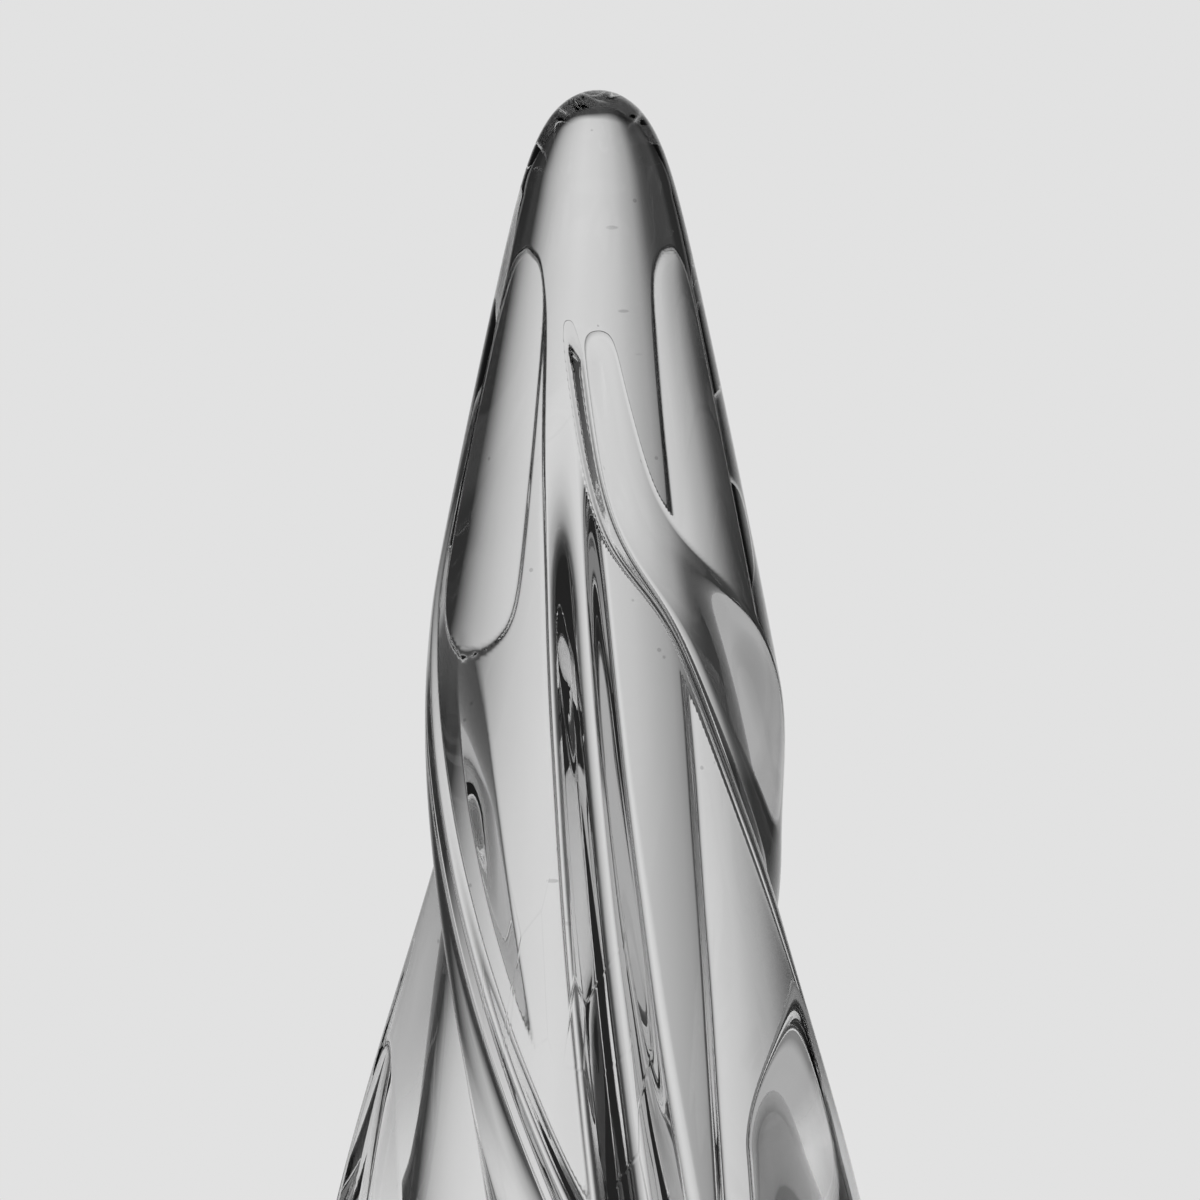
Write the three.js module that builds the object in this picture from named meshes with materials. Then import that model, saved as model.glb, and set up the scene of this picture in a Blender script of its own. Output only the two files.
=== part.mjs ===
// Spiral tree: one solid mass of clear glass, a round-tipped cone that was pressed with two long grooves
// while hot and twisted, standing on small clear bumper feet.
// Millimetres, +Z up. The front looks towards -Y. A drop is a distance below the tip.
// Angles are in degrees, counted anticlockwise from +X as seen from above.
// A share of depth is a share of the cone's radius at that drop.
import * as THREE from 'three';
import { mergeVertices } from 'three/addons/utils/BufferGeometryUtils.js';

// Overall sizes
const OVERALL_HEIGHT = 254;
const BASE_RADIUS = 53.8;
const CROWN_RADIUS = 9.45; // the sides' radius where they would reach the level of the tip
const SIDE_BULGE = 3.65; // how far the sides swell out at half height
const TIP_ROUNDING = 8.4; // radius of the round tip

// Twist of the two spiral grooves: a steady turn, and a quick one below the tip
const STEADY_TURN_ANGLE = 134.5; // over the height of the glass
const QUICK_TURN_ANGLE = 8.2; // each way from the middle of the quick stretch
const QUICK_TURN_DROP = 81.3;
const QUICK_TURN_LENGTH = 8;
const FRONT_EDGE_ANGLE = -77.6; // the front groove's sharp edge at the middle of the quick stretch
const GROOVE_SPACING_ANGLE = 180.7; // from the front groove round to the side groove

// Spiral grooves: each has a steep side below a sharp edge and a gentle side that rises away from it
const FRONT_STEEP_START_ANGLE = 6;
const FRONT_STEEP_FULL_ANGLE = 30;
const FRONT_STEEP_FROM_DROP = 60;
const FRONT_STEEP_TO_DROP = 140;
const FRONT_GENTLE_START_ANGLE = 20;
const FRONT_GENTLE_FULL_ANGLE = 61;
const FRONT_GENTLE_FROM_DROP = 65;
const FRONT_GENTLE_TO_DROP = 125;
const FRONT_CUT_SHARE = 0.24;
const FRONT_CUT_FROM_DROP = 38;
const FRONT_CUT_TO_DROP = 46;
const FRONT_FULL_SHARE = 0.63;
const FRONT_DEEPEN_FROM_DROP = 125;
const FRONT_DEEPEN_TO_DROP = 177;
const SIDE_STEEP_ANGLE = 32;
const SIDE_GENTLE_ANGLE = 72;
const SIDE_FULL_SHARE = 0.65;
const SIDE_DEEPEN_FROM_DROP = 71;
const SIDE_DEEPEN_TO_DROP = 178;
const EASE_FROM_DROP = 190; // both grooves ease off from here to the base
const EASED_SHARE = 0.5; // what the easing leaves of their depth at the base

// Straight hollow down the back, with a broad rib in it
const BACK_ANGLE = 90;
const HOLLOW_HALF_ANGLE = 34;
const HOLLOW_DEPTH_SHARE = 0.05;
const HOLLOW_FROM_DROP = 26;
const HOLLOW_TO_DROP = 42;
const RIB_HALF_ANGLE = 9;

// Narrow notch that slants along the rib
const NOTCH_HALF_ANGLE = 4;
const NOTCH_DEPTH_SHARE = 0.065;
const NOTCH_FROM_DROP = 36;
const NOTCH_TO_DROP = 111;
const NOTCH_TOP_ANGLE = 96.6; // where it would reach the level of the tip
const NOTCH_SLANT_ANGLE = -12.6; // how far it slants over the height of the glass

// Ground base
const BASE_BEVEL = 1.2;
const PONTIL_RADIUS = 12; // polished hollow where the rod was broken off
const PONTIL_DEPTH = 1.4;

// Bumper feet
const FOOT_RADIUS = 6;
const FOOT_TOP_RADIUS = 5.2;
const FOOT_HEIGHT = 2;
const FOOT_EDGE = 0.6;
const FOOT_INSET = 5; // from the edge of the lobe that it is stuck under

// Facets
const SEGMENTS = 104;
const SIDE_RINGS = 58;
const RING_CROWDING_POWER = 1.3; // rings lie closer together towards the tip
const CORNER_CROWDING_SHARE = 2.5; // corners lie closer together round the steep sides and the notch
const CROWDED_HALF_ANGLE = 22;
const PONTIL_RINGS = 3;
const FOOT_SEGMENTS = 28;
const FOOT_EDGE_STEPS = 3;

const FULL_TURN_ANGLE = 360;
const GLASS_HEIGHT = OVERALL_HEIGHT - FOOT_HEIGHT;
const { clamp, degToRad, euclideanModulo, lerp, radToDeg, smoothstep } = THREE.MathUtils;

// Radius of the cone before it is pressed: swelling sides that run into a round tip
function coneRadius(drop) {
  const share = drop / GLASS_HEIGHT;
  const swell = 4 * SIDE_BULGE * share * (1 - share);
  const side = lerp(CROWN_RADIUS, BASE_RADIUS, share) + swell;
  const rounding = Math.exp((-2 * TIP_ROUNDING * drop) / CROWN_RADIUS ** 2);
  return side * Math.sqrt(1 - rounding);
}

function frontEdgeAngle(drop) {
  const below = drop - QUICK_TURN_DROP;
  const steady = (STEADY_TURN_ANGLE * below) / GLASS_HEIGHT;
  return FRONT_EDGE_ANGLE + steady + QUICK_TURN_ANGLE * Math.tanh(below / QUICK_TURN_LENGTH);
}

function sideEdgeAngle(drop) {
  return frontEdgeAngle(drop) + GROOVE_SPACING_ANGLE;
}

function frontSteepAngle(drop) {
  const share = smoothstep(drop, FRONT_STEEP_FROM_DROP, FRONT_STEEP_TO_DROP);
  return lerp(FRONT_STEEP_START_ANGLE, FRONT_STEEP_FULL_ANGLE, share);
}

function frontGentleAngle(drop) {
  const share = smoothstep(drop, FRONT_GENTLE_FROM_DROP, FRONT_GENTLE_TO_DROP);
  return lerp(FRONT_GENTLE_START_ANGLE, FRONT_GENTLE_FULL_ANGLE, share);
}

function notchAngle(drop) {
  return NOTCH_TOP_ANGLE + (NOTCH_SLANT_ANGLE * drop) / GLASS_HEIGHT;
}

// Round-bottomed dip: 1 at its deepest, 0 from its two edges outwards
function dip(angle, deepest, before, after) {
  const away = euclideanModulo(angle - deepest + 180, FULL_TURN_ANGLE) - 180;
  const share = away < 0 ? -away / before : away / after;
  return 0.5 + 0.5 * Math.cos(Math.PI * Math.min(share, 1));
}

// Two slopes that face each other across a broad rib
function hollow(angle) {
  const away = Math.abs(euclideanModulo(angle - BACK_ANGLE + 180, FULL_TURN_ANGLE) - 180);
  const share = clamp((away - RIB_HALF_ANGLE) / (HOLLOW_HALF_ANGLE - RIB_HALF_ANGLE), 0, 1);
  return (1 - share) ** 2;
}

function frontGroove(angle, drop) {
  const cut = FRONT_CUT_SHARE * smoothstep(drop, FRONT_CUT_FROM_DROP, FRONT_CUT_TO_DROP);
  const deepening = smoothstep(drop, FRONT_DEEPEN_FROM_DROP, FRONT_DEEPEN_TO_DROP);
  const depth = cut + (FRONT_FULL_SHARE - FRONT_CUT_SHARE) * deepening;
  const steep = frontSteepAngle(drop);
  return depth * dip(angle, frontEdgeAngle(drop) + steep, steep, frontGentleAngle(drop));
}

function sideGroove(angle, drop) {
  const depth = SIDE_FULL_SHARE * smoothstep(drop, SIDE_DEEPEN_FROM_DROP, SIDE_DEEPEN_TO_DROP);
  const deepest = sideEdgeAngle(drop) + SIDE_STEEP_ANGLE;
  return depth * dip(angle, deepest, SIDE_STEEP_ANGLE, SIDE_GENTLE_ANGLE);
}

// What is left of the radius at an angle and drop once everything is pressed in
function pressed(angle, drop) {
  const easing = lerp(1, EASED_SHARE, smoothstep(drop, EASE_FROM_DROP, GLASS_HEIGHT));
  const grooves = easing * (frontGroove(angle, drop) + sideGroove(angle, drop));
  const hollowDepth = HOLLOW_DEPTH_SHARE * smoothstep(drop, HOLLOW_FROM_DROP, HOLLOW_TO_DROP);
  const notchDepth = NOTCH_DEPTH_SHARE * smoothstep(drop, NOTCH_FROM_DROP, NOTCH_TO_DROP);
  const notch = notchDepth * dip(angle, notchAngle(drop), NOTCH_HALF_ANGLE, NOTCH_HALF_ANGLE);
  return 1 - grooves - hollowDepth * hollow(angle) - notch;
}

// Angles of the facets' corners at a drop, once round
function cornerAngles(drop) {
  const frontSteepMiddle = frontEdgeAngle(drop) + frontSteepAngle(drop) / 2;
  const sideSteepMiddle = sideEdgeAngle(drop) + SIDE_STEEP_ANGLE / 2;
  const crowded = [frontSteepMiddle, sideSteepMiddle, notchAngle(drop)];
  const running = [0];
  for (let angle = 0; angle < FULL_TURN_ANGLE; angle += 1) {
    let density = 1;
    crowded.forEach((middle) => {
      density += CORNER_CROWDING_SHARE * dip(angle, middle, CROWDED_HALF_ANGLE, CROWDED_HALF_ANGLE);
    });
    running.push(running[angle] + density);
  }
  const angles = [];
  let whole = 0;
  for (let i = 0; i <= SEGMENTS; i += 1) {
    const wanted = (running[FULL_TURN_ANGLE] * i) / SEGMENTS;
    while (whole < FULL_TURN_ANGLE - 1 && running[whole + 1] < wanted) whole += 1;
    angles.push(whole + (wanted - running[whole]) / (running[whole + 1] - running[whole]));
  }
  return angles;
}

// Profile of the unpressed glass from the middle of its base round to the tip, as radius and height
function glassProfile() {
  const points = [];
  for (let i = 0; i < PONTIL_RINGS; i += 1) {
    const share = i / PONTIL_RINGS;
    const rise = PONTIL_DEPTH * (1 - share ** 2);
    points.push(new THREE.Vector2(PONTIL_RADIUS * share, FOOT_HEIGHT + rise));
  }
  points.push(new THREE.Vector2(PONTIL_RADIUS, FOOT_HEIGHT));
  points.push(new THREE.Vector2(BASE_RADIUS - BASE_BEVEL, FOOT_HEIGHT));
  for (let i = SIDE_RINGS; i > 0; i -= 1) {
    const drop = (GLASS_HEIGHT - BASE_BEVEL) * (i / SIDE_RINGS) ** RING_CROWDING_POWER;
    points.push(new THREE.Vector2(coneRadius(drop), OVERALL_HEIGHT - drop));
  }
  points.push(new THREE.Vector2(0, OVERALL_HEIGHT));
  return points;
}

// A turned shape with +Z as its axis
function turned(profile, segments) {
  const lathe = new THREE.LatheGeometry(profile, segments);
  lathe.rotateX(Math.PI / 2);
  lathe.deleteAttribute('normal');
  lathe.deleteAttribute('uv');
  return lathe;
}

function glassGeometry() {
  const profile = glassProfile();
  const rings = profile.map((point, i) => {
    const isPontil = i <= PONTIL_RINGS;
    const drop = isPontil ? GLASS_HEIGHT : OVERALL_HEIGHT - point.y;
    const angles = cornerAngles(drop);
    const radii = angles.map((angle) => point.x * (isPontil ? 1 : pressed(angle, drop)));
    return { angles, radii };
  });
  const geometry = turned(profile, SEGMENTS);
  const position = geometry.getAttribute('position');
  for (let i = 0; i < position.count; i += 1) {
    const ring = rings[i % profile.length];
    const column = Math.floor(i / profile.length);
    const angle = degToRad(ring.angles[column]);
    position.setX(i, ring.radii[column] * Math.cos(angle));
    position.setY(i, ring.radii[column] * Math.sin(angle));
  }
  return mergeVertices(geometry);
}

function footGeometry() {
  const profile = [new THREE.Vector2(0, 0)];
  for (let i = 0; i <= FOOT_EDGE_STEPS; i += 1) {
    const turn = (Math.PI / 2) * (i / FOOT_EDGE_STEPS);
    const x = FOOT_RADIUS - FOOT_EDGE * (1 - Math.sin(turn));
    profile.push(new THREE.Vector2(x, FOOT_EDGE * (1 - Math.cos(turn))));
  }
  profile.push(new THREE.Vector2(FOOT_TOP_RADIUS, FOOT_HEIGHT));
  profile.push(new THREE.Vector2(0, FOOT_HEIGHT));
  return mergeVertices(turned(profile, FOOT_SEGMENTS));
}

// A foot near each end of the two lobes that the spiral grooves leave at the base
function footAngles(circle) {
  const front = frontEdgeAngle(GLASS_HEIGHT);
  const frontEnd = front + frontSteepAngle(GLASS_HEIGHT) + frontGentleAngle(GLASS_HEIGHT);
  const side = sideEdgeAngle(GLASS_HEIGHT);
  const sideEnd = side + SIDE_STEEP_ANGLE + SIDE_GENTLE_ANGLE;
  const reach = radToDeg(Math.asin(FOOT_RADIUS / circle));
  return [frontEnd + reach, side - reach, sideEnd + reach, front - reach];
}

function addGlass(tree) {
  const glass = new THREE.MeshStandardMaterial({ color: 0xf2f4f4, roughness: 0.02, metalness: 0 });
  const body = new THREE.Mesh(glassGeometry(), glass);
  body.name = 'glass_body';
  tree.add(body);
}

function addFeet(tree) {
  const circle = BASE_RADIUS - BASE_BEVEL - FOOT_INSET - FOOT_RADIUS;
  footAngles(circle).forEach((angle, i) => {
    const clear = new THREE.MeshStandardMaterial({ color: 0xdfe2e2, roughness: 0.35, metalness: 0 });
    const foot = new THREE.Mesh(footGeometry(), clear);
    foot.name = `bumper_foot_${i + 1}`;
    foot.position.set(circle * Math.cos(degToRad(angle)), circle * Math.sin(degToRad(angle)), 0);
    tree.add(foot);
  });
}

const tree = new THREE.Group();
addGlass(tree);
addFeet(tree);

// The origin is under the middle of the outline, on the surface that the feet stand on
const middle = new THREE.Box3().setFromObject(tree, true).getCenter(new THREE.Vector3());
tree.position.set(-middle.x, -middle.y, 0);

const part = new THREE.Group();
part.add(tree);

export default part;
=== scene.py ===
import math

import bpy
import numpy as np
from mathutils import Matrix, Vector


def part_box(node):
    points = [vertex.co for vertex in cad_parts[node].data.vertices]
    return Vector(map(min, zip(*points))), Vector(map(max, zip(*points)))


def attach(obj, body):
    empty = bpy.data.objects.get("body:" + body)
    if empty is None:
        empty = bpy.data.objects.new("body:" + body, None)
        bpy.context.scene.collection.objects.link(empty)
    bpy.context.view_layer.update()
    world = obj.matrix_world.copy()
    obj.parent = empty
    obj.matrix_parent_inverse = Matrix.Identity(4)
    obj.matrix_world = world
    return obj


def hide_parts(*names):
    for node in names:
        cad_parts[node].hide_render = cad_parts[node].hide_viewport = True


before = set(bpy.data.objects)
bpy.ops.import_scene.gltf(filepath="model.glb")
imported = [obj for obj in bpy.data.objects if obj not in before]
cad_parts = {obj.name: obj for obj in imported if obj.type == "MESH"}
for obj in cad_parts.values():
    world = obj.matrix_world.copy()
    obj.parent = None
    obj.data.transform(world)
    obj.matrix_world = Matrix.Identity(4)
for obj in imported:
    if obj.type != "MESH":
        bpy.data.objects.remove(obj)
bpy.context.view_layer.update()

MM = 0.001

# Sizes of the part, in millimetres. A drop is a distance below the tip, an angle is in degrees from +X,
# and a share of depth is a share of the cone's radius at that drop.
OVERALL_HEIGHT = 254
BASE_RADIUS = 53.8
CROWN_RADIUS = 9.45
SIDE_BULGE = 3.65
TIP_ROUNDING = 8.4
STEADY_TURN_ANGLE = 134.5
QUICK_TURN_ANGLE = 8.2
QUICK_TURN_DROP = 81.3
QUICK_TURN_LENGTH = 8
FRONT_EDGE_ANGLE = -77.6
GROOVE_SPACING_ANGLE = 180.7
FRONT_STEEP_START_ANGLE = 6
FRONT_STEEP_FULL_ANGLE = 30
FRONT_STEEP_DROPS = (60, 140)
FRONT_GENTLE_START_ANGLE = 20
FRONT_GENTLE_FULL_ANGLE = 61
FRONT_GENTLE_DROPS = (65, 125)
FRONT_CUT_SHARE = 0.24
FRONT_CUT_DROPS = (38, 46)
FRONT_FULL_SHARE = 0.63
FRONT_DEEPEN_DROPS = (125, 177)
SIDE_STEEP_ANGLE = 32
SIDE_GENTLE_ANGLE = 72
SIDE_FULL_SHARE = 0.65
SIDE_DEEPEN_DROPS = (71, 178)
EASE_FROM_DROP = 190
EASED_SHARE = 0.5
BACK_ANGLE = 90
HOLLOW_DEPTH_SHARE = 0.05
NOTCH_LEFT_ANGLE = 5
NOTCH_RIGHT_ANGLE = 3.6
NOTCH_DEPTH_SHARE = 0.07
NOTCH_DROPS = (50, 90)
NOTCH_TOP_ANGLE = 97.2
NOTCH_SLANT_ANGLE = -15.1
BASE_BEVEL = 1.2
PONTIL_RADIUS = 12
PONTIL_DEPTH = 1.4
FOOT_RADIUS = 6
FOOT_FLAT_INSET = 0.72
FOOT_TOP_RADIUS = 5.2
FOOT_TOP_INSET = 0.1
FOOT_HEIGHT = 2
FOOT_EDGE = 0.6
GLASS_HEIGHT = OVERALL_HEIGHT - FOOT_HEIGHT

# Finer forms of the back, which show through the glass: an oval lens on the left of a low rib, a hollow with
# an arched top on its right, a crease below the lens and a soft ridge beside it. Angles count from the middle
# of the back. The narrowing and the slant are in degrees per millimetre, and slopes are shares of the radius
# per radian.
HOLLOW_DROPS = (14, 20)
ARCH_ANGLE = 4
ARCH_DROP = 26
ARCH_LENGTH = 4
LENS_ANGLE = 9.4
LENS_WIDEST_ANGLE = 16
LENS_REACH_ANGLE = 37
LENS_END_DROP = 98.2
LIP_HEIGHT = 0.12
LIP_STEP_ANGLE = 0.5
RIGHT_ANGLE = 9.6
RIGHT_WIDEST_ANGLE = 14
RIGHT_REACH_ANGLE = 18
RIGHT_STEP_ANGLE = 0.9
RIB_HEIGHT = 0.35
RIB_ANGLE = 9.5
RIB_LEAST_ANGLE = 0.5
RIB_NARROWING = 0.055
RIB_FROM_DROP = 33
RIB_STEP_ANGLE = 0.7
RIB_LEAST_RADIUS = 5
CREASE_DROPS = (80, 125)
CREASE_ANGLE = 9.6
CREASE_SLANT = 0.103
CREASE_SLANT_DROP = 122
CREASE_WALL_ANGLE = 6
CREASE_RETURN_ANGLE = 30
CREASE_SLOPES = (0.166, 0.5)
CREASE_SLOPE_DROPS = (96, 152)
RIDGE_HEIGHT_SHARE = 0.1
RIDGE_CREST_ANGLES = (45, 28)
RIDGE_TURN_DROPS = (70, 92)
RIDGE_NEAR_ANGLE = 14
RIDGE_FAR_ANGLE = 72
RIDGE_START_DROPS = (42, 50)
RIDGE_END_DROPS = (95, 120)

# Marks of hot working: streaks along the glass and puckers on the tip, as turns, millimetres and phase
STREAKS = [(13, 60, 0.4), (19, -45, 2.1), (27, 80, 4.4), (34, -38, 1.2)]
STREAK_HEIGHT = 0.0005
PUCKERS = [(5, 3.1, 0.7), (7, -4.2, 3.3), (11, 5.3, 5.1), (4, -2.6, 1.9)]
PUCKER_HEIGHT = 0.012
PUCKER_START_DROP = 2
PUCKER_DROPS = (4, 7)

# How finely the surfaces are divided
SEGMENTS = 800
BACK_CROWDING = 0.8
SIDE_RINGS = 400
RING_CROWDING_POWER = 1.35
PONTIL_RINGS = 10
BASE_RING_SHARES = (0.02, 0.5, 0.97)
BEVEL_RINGS = 4
FOOT_SEGMENTS = 72
FOOT_EDGE_STEPS = 6

# Glass: striae along its height, dark specks and hairline scratches in patches. Texture scales are counts in
# a metre along each axis, clarity is the share of light let through, and bumps are in metres.
GLASS_IOR = 1.52
STRIAE_SCALE = (150, 150, 14)
STRIAE_DETAIL = 3
STRIAE_CLARITY = (0.955, 0.995)
STRIAE_BUMP = 0.000004
STRIAE_BUMP_STRENGTH = 0.5
SPECK_SCALE = (190, 190, 190)
SPECK_EDGE = (0.05, 0.09)
SPECK_PATCH_SCALE = (60, 60, 60)
SPECK_PATCH_DETAIL = 1
SPECK_PATCH_EDGE = (0.52, 0.6)
SPECK_CLARITY = 0.55
SCRATCH_SCALE = (160, 160, 28)
SCRATCH_EDGE = (0.0, 0.02)
SCRATCH_PATCH_SCALE = (34, 34, 18)
SCRATCH_PATCH_DETAIL = 2
SCRATCH_PATCH_EDGE = (0.56, 0.68)
SCRATCH_CLARITY = 0.93
SCRATCH_ROUGHNESS = 0.06
SCRATCH_BUMP = -0.000004
SCRATCH_BUMP_STRENGTH = 0.3

# Bumpers: a satin grain, and dust that dulls it
BUMPER_IOR = 1.49
BUMPER_TRANSMISSION = 0.7
BUMPER_COLOURS = (0.84, 0.9)
BUMPER_ROUGHNESS = (0.2, 0.36)
GRAIN_SCALE = (2600, 2600, 2600)
GRAIN_DETAIL = 2
GRAIN_BUMP = 0.00004
GRAIN_BUMP_STRENGTH = 0.4
DUST_SCALE = (420, 420, 420)
DUST_DETAIL = 3
DUST_EDGE = (0.5, 0.72)
DUST_DARKENING = 0.12
DUST_ROUGHENING = 0.25
NOISE_SPREAD = (0.3, 0.7)

# Brightness of the room that the glass shows: by bearing, which counts from the middle of the backdrop and
# grows to the right, and by height above the horizon, both in degrees. Dark flags stand beside the backdrop.
BACKDROP = 0.76
AMBIENT = 0.95
WALLS = [
    (-180, 0.4), (-118, 0.4), (-100, 0.2), (-70, 0.2),
    (-62, 0.03), (-31, 0.03),
    (-27, 0.05), (-24, 0.09), (-22, 0.15), (-17, 0.35), (-12, 0.46), (-8, 0.56), (0, 0.66), (8, 0.7),
    (12, 0.68), (17, 0.63), (22, 0.56), (27, 0.45), (30, 0.35), (34, 0.18),
    (38, 0.03), (62, 0.03),
    (72, 0.45), (100, 0.45), (118, 0.4), (180, 0.4),
]
WALL_HEIGHT = [(-90, 0.1), (-41, 0.1), (-33, 1), (40, 1), (50, 0.2), (90, 0.2)]

# Floor, in metres: pale under the object, and clear at its rim
FLOOR_RADIUS = 0.17
FLOOR_FADE = 0.07
FLOOR_GREY = 0.8
FLOOR_CORNERS = 128

# The photograph: pixels of its frame, and how the object sits in it. The camera's distances are in metres.
FRAME_PX = 1200
MM_PER_PX = 0.165
AXIS_PX = 598
TIP_PX = 90
CAMERA_DISTANCE = 1.2
CAMERA_CLIP_START = 0.01
SENSOR_WIDTH = 36


def smoothstep(value, start, end):
    share = np.clip((value - start) / (end - start), 0, 1)
    return share * share * (3 - 2 * share)


def lerp(start, end, share):
    return start + (end - start) * share


def turned_away(angle, middle):
    """Signed angle from the middle, between -180 and 180."""
    return (angle - middle + 180) % 360 - 180


def cone_radius(drop):
    """Radius of the cone before anything is pressed in: straight sides, a bulge and a round tip."""
    share = drop / GLASS_HEIGHT
    side = lerp(CROWN_RADIUS, BASE_RADIUS, share) + 4 * SIDE_BULGE * share * (1 - share)
    return side * np.sqrt(1 - np.exp(-2 * TIP_ROUNDING * drop / CROWN_RADIUS**2))


def front_edge_angle(drop):
    """Angle of the front groove's sharp edge, which turns steadily and then quickly."""
    below = drop - QUICK_TURN_DROP
    quick = QUICK_TURN_ANGLE * np.tanh(below / QUICK_TURN_LENGTH)
    return FRONT_EDGE_ANGLE + STEADY_TURN_ANGLE * below / GLASS_HEIGHT + quick


def front_steep_angle(drop):
    return lerp(FRONT_STEEP_START_ANGLE, FRONT_STEEP_FULL_ANGLE, smoothstep(drop, *FRONT_STEEP_DROPS))


def front_gentle_angle(drop):
    return lerp(FRONT_GENTLE_START_ANGLE, FRONT_GENTLE_FULL_ANGLE, smoothstep(drop, *FRONT_GENTLE_DROPS))


def notch_angle(drop):
    return NOTCH_TOP_ANGLE + NOTCH_SLANT_ANGLE * drop / GLASS_HEIGHT


def dip(angle, deepest, before, after):
    """Round-bottomed dip: 1 at its deepest, 0 from its two edges outwards."""
    away = turned_away(angle, deepest)
    share = np.where(away < 0, -away / before, away / after)
    return 0.5 + 0.5 * np.cos(np.pi * np.minimum(share, 1))


def step_down(away, edge, width):
    """1 inside an edge and 0 outside it."""
    return 1 - smoothstep(away, edge - width, edge)


def front_groove(angle, drop):
    cut = FRONT_CUT_SHARE * smoothstep(drop, *FRONT_CUT_DROPS)
    depth = cut + (FRONT_FULL_SHARE - FRONT_CUT_SHARE) * smoothstep(drop, *FRONT_DEEPEN_DROPS)
    steep = front_steep_angle(drop)
    return depth * dip(angle, front_edge_angle(drop) + steep, steep, front_gentle_angle(drop))


def side_groove(angle, drop):
    depth = SIDE_FULL_SHARE * smoothstep(drop, *SIDE_DEEPEN_DROPS)
    deepest = front_edge_angle(drop) + GROOVE_SPACING_ANGLE + SIDE_STEEP_ANGLE
    return depth * dip(angle, deepest, SIDE_STEEP_ANGLE, SIDE_GENTLE_ANGLE)


def back_hollows(angle, drop):
    """Share of the radius lost to the lens and the hollow, which are sunk beside the rib between them."""
    side = turned_away(angle, BACK_ANGLE)
    away = np.abs(side)
    top = ARCH_ANGLE * np.exp((ARCH_DROP - drop) / ARCH_LENGTH)
    end = ARCH_ANGLE * np.exp((drop - LENS_END_DROP) / ARCH_LENGTH)
    lens = np.minimum(LENS_ANGLE + top + end, LENS_WIDEST_ANGLE)
    right = np.minimum(RIGHT_ANGLE + top, RIGHT_WIDEST_ANGLE)
    rib = np.maximum(RIB_ANGLE - RIB_NARROWING * (drop - RIB_FROM_DROP), RIB_LEAST_ANGLE)
    rib = np.minimum(rib + top, LENS_WIDEST_ANGLE)
    edge = np.where(side > 0, lens, right)
    reach = np.where(side > 0, LENS_REACH_ANGLE, RIGHT_REACH_ANGLE)
    sunk = HOLLOW_DEPTH_SHARE * (1 - np.clip((away - edge) / (reach - edge), 0, 1)) ** 2
    on_left = RIB_HEIGHT * step_down(away, rib, RIB_STEP_ANGLE)
    on_left = on_left + LIP_HEIGHT * step_down(away, lens, LIP_STEP_ANGLE)
    on_right = (RIB_HEIGHT + LIP_HEIGHT) * step_down(away, right, RIGHT_STEP_ANGLE)
    raised = np.where(side > 0, on_left, on_right) / np.maximum(cone_radius(drop), RIB_LEAST_RADIUS)
    return smoothstep(drop, *HOLLOW_DROPS) * (sunk - raised)


def back_crease(angle, drop):
    """Share of the radius lost to the crease: a wall that falls to the left, and a gentle return."""
    past = turned_away(angle, BACK_ANGLE) - CREASE_ANGLE + CREASE_SLANT * (drop - CREASE_SLANT_DROP)
    wall = np.clip(past, 0, CREASE_WALL_ANGLE)
    back = np.clip((past - CREASE_WALL_ANGLE) / CREASE_RETURN_ANGLE, 0, 1)
    slope = np.interp(drop, CREASE_SLOPE_DROPS, CREASE_SLOPES)
    return smoothstep(drop, *CREASE_DROPS) * slope * np.radians(wall * (1 - back))


def back_ridge(angle, drop):
    """Share of the radius gained on the ridge beside the lens, whose crest turns to the back's middle."""
    grown = smoothstep(drop, *RIDGE_START_DROPS) * (1 - smoothstep(drop, *RIDGE_END_DROPS))
    crest = lerp(*RIDGE_CREST_ANGLES, smoothstep(drop, *RIDGE_TURN_DROPS))
    profile = dip(angle, BACK_ANGLE + crest, crest - RIDGE_NEAR_ANGLE, RIDGE_FAR_ANGLE - crest)
    return RIDGE_HEIGHT_SHARE * grown * profile


def pressed(angle, drop):
    """What is left of the radius at an angle and drop once everything is pressed in."""
    easing = lerp(1, EASED_SHARE, smoothstep(drop, EASE_FROM_DROP, GLASS_HEIGHT))
    left = 1 - easing * (front_groove(angle, drop) + side_groove(angle, drop))
    left = left + back_ridge(angle, drop) - back_hollows(angle, drop) - back_crease(angle, drop)
    notch = NOTCH_DEPTH_SHARE * smoothstep(drop, *NOTCH_DROPS)
    return left - notch * dip(angle, notch_angle(drop), NOTCH_RIGHT_ANGLE, NOTCH_LEFT_ANGLE)


def waves(angle, drop, list_of_waves):
    turn = np.radians(angle)
    return sum(np.sin(turns * turn + 2 * np.pi * drop / length + phase)
               for turns, length, phase in list_of_waves)


def fine_marks(angle, drop):
    """What hot working left on the surface, in millimetres."""
    streaks = STREAK_HEIGHT * waves(angle, drop, STREAKS)
    puckers = PUCKER_HEIGHT * (1 - smoothstep(drop, *PUCKER_DROPS)) * waves(angle, drop, PUCKERS)
    return smoothstep(drop, 0, PUCKER_START_DROP) * (streaks + puckers)


def corner_angles():
    """Angles of the corners once round, closer together at the back."""
    turn = 2 * np.pi * np.arange(SEGMENTS) / SEGMENTS
    return BACK_ANGLE + np.degrees(turn - BACK_CROWDING * np.sin(turn))


def ring(angle, radius, height):
    turn = np.radians(angle)
    level = np.full(len(turn), float(height))
    return np.column_stack([radius * np.cos(turn), radius * np.sin(turn), level])


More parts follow.
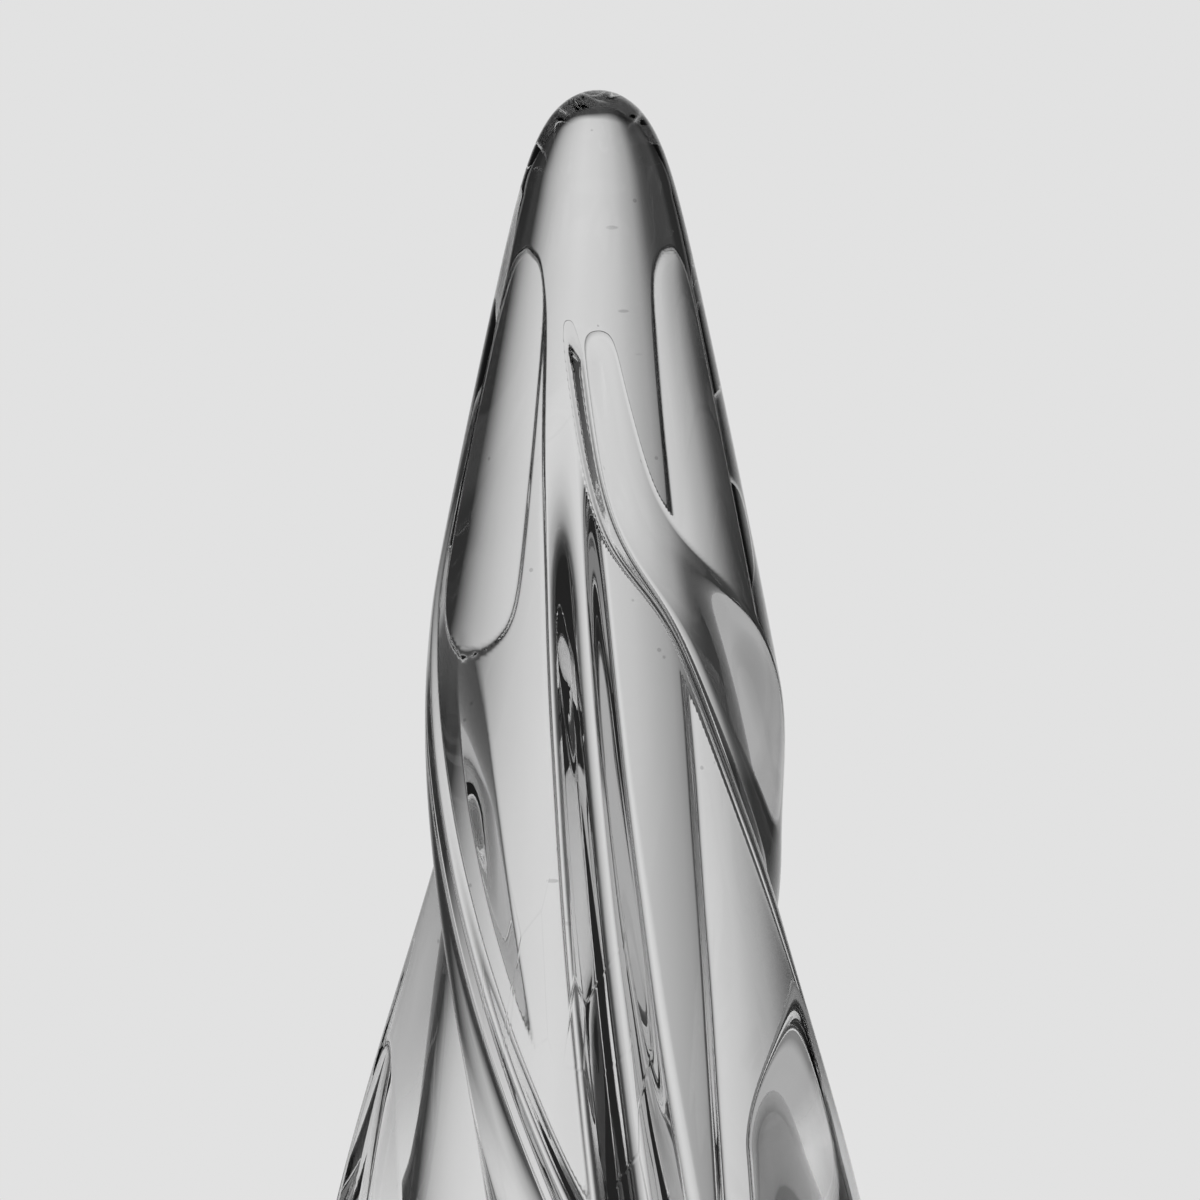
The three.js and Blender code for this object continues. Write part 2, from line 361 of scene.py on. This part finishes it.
def glass_rows():
    """Rows of the glass, from the middle of the pontil hollow out over the base and up to the tip."""
    angle = corner_angles()
    rows = [np.array([0, 0, FOOT_HEIGHT + PONTIL_DEPTH])]
    for i in range(1, PONTIL_RINGS + 1):
        share = i / PONTIL_RINGS
        rows.append(ring(angle, PONTIL_RADIUS * share, FOOT_HEIGHT + PONTIL_DEPTH * (1 - share**2)))
    base = (cone_radius(GLASS_HEIGHT) - BASE_BEVEL) * pressed(angle, GLASS_HEIGHT)
    for share in BASE_RING_SHARES:
        rows.append(ring(angle, lerp(PONTIL_RADIUS, base, share), FOOT_HEIGHT))
    for i in range(BEVEL_RINGS):
        bend = math.pi / 2 * i / BEVEL_RINGS
        drop = GLASS_HEIGHT - BASE_BEVEL * (1 - math.cos(bend))
        outer = cone_radius(drop) - BASE_BEVEL * (1 - math.sin(bend))
        rows.append(ring(angle, outer * pressed(angle, drop), OVERALL_HEIGHT - drop))
    for i in range(SIDE_RINGS, 0, -1):
        drop = (GLASS_HEIGHT - BASE_BEVEL) * (i / SIDE_RINGS) ** RING_CROWDING_POWER
        radius = cone_radius(drop) * pressed(angle, drop) + fine_marks(angle, drop)
        rows.append(ring(angle, radius, OVERALL_HEIGHT - drop))
    rows.append(np.array([0, 0, OVERALL_HEIGHT]))
    return rows


def foot_rows(node):
    """Rows of a bumper, from the middle of its underside over its round edge to its top."""
    low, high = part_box(node)
    middle = np.array([(low[0] + high[0]) / 2 / MM, (low[1] + high[1]) / 2 / MM, 0])
    angle = np.linspace(0, 360, FOOT_SEGMENTS, endpoint=False)
    rows = [np.zeros(3), ring(angle, FOOT_RADIUS - FOOT_FLAT_INSET, 0)]
    for i in range(FOOT_EDGE_STEPS + 1):
        bend = math.pi / 2 * i / FOOT_EDGE_STEPS
        radius = FOOT_RADIUS - FOOT_EDGE * (1 - math.sin(bend))
        rows.append(ring(angle, radius, FOOT_EDGE * (1 - math.cos(bend))))
    rows.append(ring(angle, FOOT_TOP_RADIUS, FOOT_HEIGHT))
    rows.append(ring(angle, FOOT_TOP_RADIUS - FOOT_TOP_INSET, FOOT_HEIGHT))
    rows.append(np.array([0, 0, FOOT_HEIGHT]))
    return [row + middle for row in rows]


def placed(rows, node):
    """Rows moved sideways so that the middle of their box is the middle of the node's box."""
    points = np.vstack([np.atleast_2d(row) for row in rows])
    low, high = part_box(node)
    middle = np.array([(low[i] + high[i]) / 2 / MM for i in (0, 1)])
    shift = np.append(middle - (points.min(0) + points.max(0))[:2] / 2, 0)
    return [row + shift for row in rows], shift


def lathe_mesh(name, rows):
    """Closed mesh from rows of points round the axis, between a first and a last single point."""
    first, rings, last = rows[0], rows[1:-1], rows[-1]
    count = len(rings[0])
    points = np.vstack([[first], *rings, [last]])
    index = 1 + np.arange(len(rings) * count).reshape(len(rings), count)
    low, high = index[:-1], index[1:]
    quads = np.stack([low, np.roll(low, -1, 1), np.roll(high, -1, 1), high], -1).reshape(-1, 4)
    faces = [[0, int(b), int(a)] for a, b in zip(index[0], np.roll(index[0], -1))]
    faces += quads.tolist()
    end = len(points) - 1
    faces += [[end, int(a), int(b)] for a, b in zip(index[-1], np.roll(index[-1], -1))]
    mesh = bpy.data.meshes.new(name)
    mesh.from_pydata((points * MM).tolist(), [], faces)
    mesh.shade_smooth()
    return mesh


def add_piece(name, mesh, material, node):
    piece = bpy.data.objects.new(name, mesh)
    bpy.context.scene.collection.objects.link(piece)
    mesh.materials.append(material)
    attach(piece, "root")
    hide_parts(node)


def add_node(tree, kind, **values):
    node = tree.nodes.new(kind)
    for name, value in values.items():
        setattr(node, name, value)
    return node


def math_node(tree, operation, first, second=None):
    node = add_node(tree, "ShaderNodeMath", operation=operation)
    for socket, value in zip(node.inputs, (first, second)):
        if isinstance(value, (int, float)):
            socket.default_value = value
        elif value is not None:
            tree.links.new(value, socket)
    return node.outputs[0]


def ranged(tree, value, limits, results):
    """Smooth change between two results as a value goes between two limits."""
    node = add_node(tree, "ShaderNodeMapRange", interpolation_type="SMOOTHSTEP")
    tree.links.new(value, node.inputs["Value"])
    for name, number in zip(("From Min", "From Max", "To Min", "To Max"), (*limits, *results)):
        node.inputs[name].default_value = number
    return node.outputs[0]


def mix(tree, share, without, level):
    node = add_node(tree, "ShaderNodeMix")
    tree.links.new(share, node.inputs[0])
    tree.links.new(without, node.inputs[2])
    node.inputs[3].default_value = level
    return node.outputs[0]


def stretched(tree, scale):
    """Object coordinates in metres times a scale for each axis."""
    place = add_node(tree, "ShaderNodeTexCoord")
    mapping = add_node(tree, "ShaderNodeMapping")
    tree.links.new(place.outputs["Object"], mapping.inputs["Vector"])
    mapping.inputs["Scale"].default_value = scale
    return mapping.outputs[0]


def noise(tree, scale, detail):
    node = add_node(tree, "ShaderNodeTexNoise")
    tree.links.new(stretched(tree, scale), node.inputs["Vector"])
    node.inputs["Scale"].default_value = 1
    node.inputs["Detail"].default_value = detail
    return node.outputs[0]


def cells(tree, scale, feature):
    node = add_node(tree, "ShaderNodeTexVoronoi", feature=feature)
    tree.links.new(stretched(tree, scale), node.inputs["Vector"])
    node.inputs["Scale"].default_value = 1
    return node.outputs["Distance"]


def bump(tree, height, distance, strength, normal=None):
    node = add_node(tree, "ShaderNodeBump")
    tree.links.new(height, node.inputs["Height"])
    node.inputs["Distance"].default_value = distance
    node.inputs["Strength"].default_value = strength
    if normal is not None:
        tree.links.new(normal, node.inputs["Normal"])
    return node.outputs[0]


def grey(tree, value):
    node = add_node(tree, "ShaderNodeCombineColor")
    for socket in node.inputs:
        tree.links.new(value, socket)
    return node.outputs[0]


def glass_material():
    """Clear glass with faint striae, a few hairline scratches and specks."""
    material = bpy.data.materials.new("clear_glass")
    material.use_nodes = True
    tree = material.node_tree
    shader = tree.nodes["Principled BSDF"]
    shader.inputs["IOR"].default_value = GLASS_IOR
    shader.inputs["Transmission Weight"].default_value = 1.0
    striae = noise(tree, STRIAE_SCALE, STRIAE_DETAIL)
    specks = ranged(tree, cells(tree, SPECK_SCALE, "F1"), SPECK_EDGE, (1, 0))
    rare = ranged(tree, noise(tree, SPECK_PATCH_SCALE, SPECK_PATCH_DETAIL), SPECK_PATCH_EDGE, (0, 1))
    specks = math_node(tree, "MULTIPLY", specks, rare)
    lines = ranged(tree, cells(tree, SCRATCH_SCALE, "DISTANCE_TO_EDGE"), SCRATCH_EDGE, (1, 0))
    patches = ranged(tree, noise(tree, SCRATCH_PATCH_SCALE, SCRATCH_PATCH_DETAIL), SCRATCH_PATCH_EDGE, (0, 1))
    lines = math_node(tree, "MULTIPLY", lines, patches)
    clear = ranged(tree, striae, NOISE_SPREAD, STRIAE_CLARITY)
    marked = math_node(tree, "MULTIPLY", clear, ranged(tree, specks, (0, 1), (1, SPECK_CLARITY)))
    marked = math_node(tree, "MULTIPLY", marked, ranged(tree, lines, (0, 1), (1, SCRATCH_CLARITY)))
    tree.links.new(grey(tree, marked), shader.inputs["Base Color"])
    tree.links.new(ranged(tree, lines, (0, 1), (0, SCRATCH_ROUGHNESS)), shader.inputs["Roughness"])
    waved = bump(tree, striae, STRIAE_BUMP, STRIAE_BUMP_STRENGTH)
    scratched = bump(tree, lines, SCRATCH_BUMP, SCRATCH_BUMP_STRENGTH, waved)
    tree.links.new(scratched, shader.inputs["Normal"])
    return material


def bumper_material():
    """Clear soft bumper, with a satin skin and dust that clings to it."""
    material = bpy.data.materials.new("clear_bumper")
    material.use_nodes = True
    tree = material.node_tree
    shader = tree.nodes["Principled BSDF"]
    shader.inputs["IOR"].default_value = BUMPER_IOR
    shader.inputs["Transmission Weight"].default_value = BUMPER_TRANSMISSION
    grain = noise(tree, GRAIN_SCALE, GRAIN_DETAIL)
    dust = ranged(tree, noise(tree, DUST_SCALE, DUST_DETAIL), DUST_EDGE, (0, 1))
    darker = math_node(tree, "MULTIPLY", dust, DUST_DARKENING)
    pale = math_node(tree, "SUBTRACT", ranged(tree, grain, NOISE_SPREAD, BUMPER_COLOURS), darker)
    tree.links.new(grey(tree, pale), shader.inputs["Base Color"])
    rougher = math_node(tree, "MULTIPLY", dust, DUST_ROUGHENING)
    satin = math_node(tree, "ADD", ranged(tree, grain, NOISE_SPREAD, BUMPER_ROUGHNESS), rougher)
    tree.links.new(satin, shader.inputs["Roughness"])
    tree.links.new(bump(tree, grain, GRAIN_BUMP, GRAIN_BUMP_STRENGTH), shader.inputs["Normal"])
    return material


def ramp(tree, angle, lowest, highest, stops):
    """Level by an angle in radians, from stops in degrees."""
    share = add_node(tree, "ShaderNodeMapRange")
    tree.links.new(angle, share.inputs["Value"])
    share.inputs["From Min"].default_value = math.radians(lowest)
    share.inputs["From Max"].default_value = math.radians(highest)
    colours = add_node(tree, "ShaderNodeValToRGB")
    tree.links.new(share.outputs[0], colours.inputs[0])
    elements = colours.color_ramp.elements
    while len(elements) < len(stops):
        elements.new(position=0.5)
    for element, (degrees, level) in zip(elements, stops):
        element.position = (degrees - lowest) / (highest - lowest)
        element.color = (level, level, level, 1)
    return colours.outputs[0]


def make_room():
    """Studio round the object: its levels for the glass, an even light for the floor, a plain backdrop."""
    world = bpy.data.worlds.new("studio")
    bpy.context.scene.world = world
    world.cycles.sampling_method = "NONE"
    world.use_nodes = True
    tree = world.node_tree
    tree.nodes.clear()
    output = add_node(tree, "ShaderNodeOutputWorld")
    background = add_node(tree, "ShaderNodeBackground")
    tree.links.new(background.outputs[0], output.inputs[0])
    direction = add_node(tree, "ShaderNodeTexCoord")
    axes = add_node(tree, "ShaderNodeSeparateXYZ")
    tree.links.new(direction.outputs["Generated"], axes.inputs[0])
    bearing = math_node(tree, "ARCTAN2", axes.outputs[0], axes.outputs[1])
    height = math_node(tree, "ARCSINE", axes.outputs[2])
    walls = ramp(tree, bearing, -180, 180, WALLS)
    room = math_node(tree, "MULTIPLY", walls, ramp(tree, height, -90, 90, WALL_HEIGHT))
    path = add_node(tree, "ShaderNodeLightPath")
    seen = mix(tree, path.outputs["Is Diffuse Ray"], room, AMBIENT)
    seen = mix(tree, path.outputs["Is Camera Ray"], seen, BACKDROP)
    tree.links.new(seen, background.inputs["Color"])


def make_floor():
    """Round pale floor that fades out to its rim."""
    angle = np.linspace(0, 360, FLOOR_CORNERS, endpoint=False)
    mesh = bpy.data.meshes.new("floor")
    mesh.from_pydata(ring(angle, FLOOR_RADIUS, 0).tolist(), [], [list(range(FLOOR_CORNERS))])
    floor = bpy.data.objects.new("floor", mesh)
    bpy.context.scene.collection.objects.link(floor)
    material = bpy.data.materials.new("floor")
    material.use_nodes = True
    tree = material.node_tree
    tree.nodes.clear()
    output = add_node(tree, "ShaderNodeOutputMaterial")
    blend = add_node(tree, "ShaderNodeMixShader")
    tree.links.new(blend.outputs[0], output.inputs[0])
    pale = add_node(tree, "ShaderNodeBsdfDiffuse")
    pale.inputs["Color"].default_value = (FLOOR_GREY, FLOOR_GREY, FLOOR_GREY, 1)
    clear = add_node(tree, "ShaderNodeBsdfTransparent")
    place = add_node(tree, "ShaderNodeNewGeometry")
    length = add_node(tree, "ShaderNodeVectorMath", operation="LENGTH")
    tree.links.new(place.outputs["Position"], length.inputs[0])
    faded = ranged(tree, length.outputs["Value"], (FLOOR_FADE, FLOOR_RADIUS), (0, 1))
    tree.links.new(faded, blend.inputs[0])
    tree.links.new(pale.outputs[0], blend.inputs[1])
    tree.links.new(clear.outputs[0], blend.inputs[2])
    mesh.materials.append(material)


def make_camera(shift):
    """Level camera in front of the object, framed as the photograph is."""
    width = FRAME_PX * MM_PER_PX * MM
    data = bpy.data.cameras.new("camera")
    data.sensor_width = SENSOR_WIDTH
    data.lens = SENSOR_WIDTH * CAMERA_DISTANCE / width
    data.clip_start = CAMERA_CLIP_START
    camera = bpy.data.objects.new("camera", data)
    bpy.context.scene.collection.objects.link(camera)
    middle = FRAME_PX / 2
    x = shift[0] + (middle - AXIS_PX) * MM_PER_PX
    z = OVERALL_HEIGHT - (middle - TIP_PX) * MM_PER_PX
    camera.location = (x * MM, shift[1] * MM - CAMERA_DISTANCE, z * MM)
    camera.rotation_euler = (math.pi / 2, 0, 0)
    bpy.context.scene.camera = camera


glass, shift = placed(glass_rows(), "glass_body")
make_camera(shift)
make_room()
make_floor()
add_piece("glass_tree", lathe_mesh("glass_tree", glass), glass_material(), "glass_body")
bumper = bumper_material()
for node in sorted(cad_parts):
    if node.startswith("bumper_foot"):
        add_piece(node + "_soft", lathe_mesh(node, foot_rows(node)), bumper, node)

bpy.context.scene.view_settings.view_transform = "Standard"
